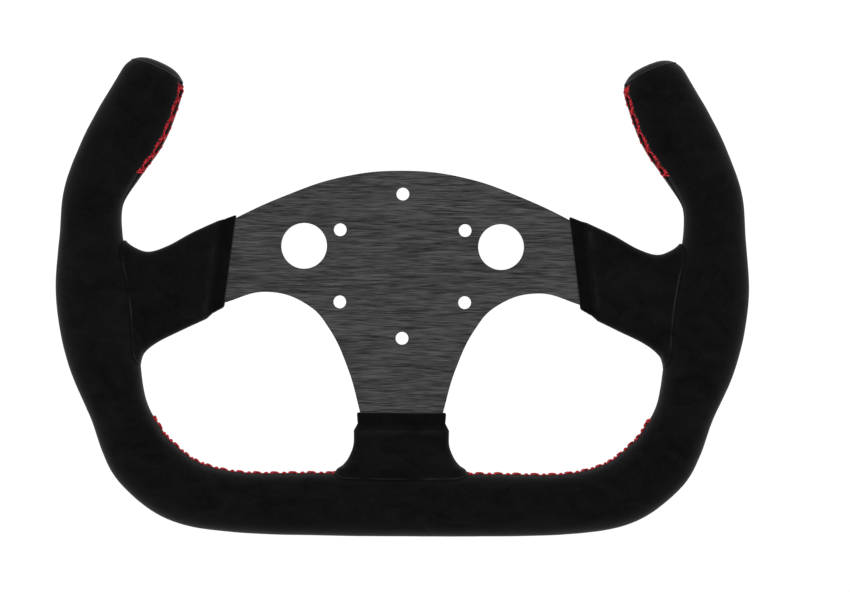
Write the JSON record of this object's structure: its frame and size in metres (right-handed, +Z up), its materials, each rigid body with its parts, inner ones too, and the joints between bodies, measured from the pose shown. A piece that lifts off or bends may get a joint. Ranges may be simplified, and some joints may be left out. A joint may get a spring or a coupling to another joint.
{
  "type": "quick release steering wheel",
  "caption": "Open-top motorsport steering wheel: drilled aluminium spoke plate, moulded rim in black suede with red lacing, for bolting to a quick-release hub.",
  "frame": {"origin": "centre of the six-hole circle on the spoke plate's rear face, where the hub bolts on", "axes": "+X to the driver's right, +Z up in the plane of the wheel, +Y away from the driver along the steering axis"},
  "size_m": [0.3368, 0.0308, 0.2322],
  "materials": {
    "anodised_plate": "black anodised over horizontal brushing",
    "steel_tube": "drawn steel, hidden in the foam",
    "rivet": "plain, hidden in the foam",
    "plug": "moulded",
    "foam": "self-skinned polyurethane",
    "suede": "napped black suede",
    "red_thread": "waxed red polyester thread",
    "black_thread": "waxed black polyester thread"
  },
  "bodies": {
    "root": {"spoke_plate": "anodised_plate", "rim_tube": "steel_tube", "rivet_left_upper": "rivet", "rivet_left_lower": "rivet", "rivet_right_upper": "rivet", "rivet_right_lower": "rivet", "rivet_bottom_left": "rivet", "rivet_bottom_right": "rivet", "tube_plug_left": "plug", "tube_plug_right": "plug", "foam_moulding": "foam", "rim_wrap": "suede", "spoke_sleeve_left": "suede", "spoke_sleeve_right": "suede", "spoke_sleeve_bottom": "suede", "end_cap_left": "suede", "end_cap_right": "suede", "lacing_horn_left": "red_thread", "lacing_horn_right": "red_thread", "lacing_lower_left": "red_thread", "lacing_lower_right": "red_thread", "back_seam_left": "black_thread", "back_seam_right": "black_thread", "back_seam_bottom": "black_thread"}
  },
  "joints": []
}
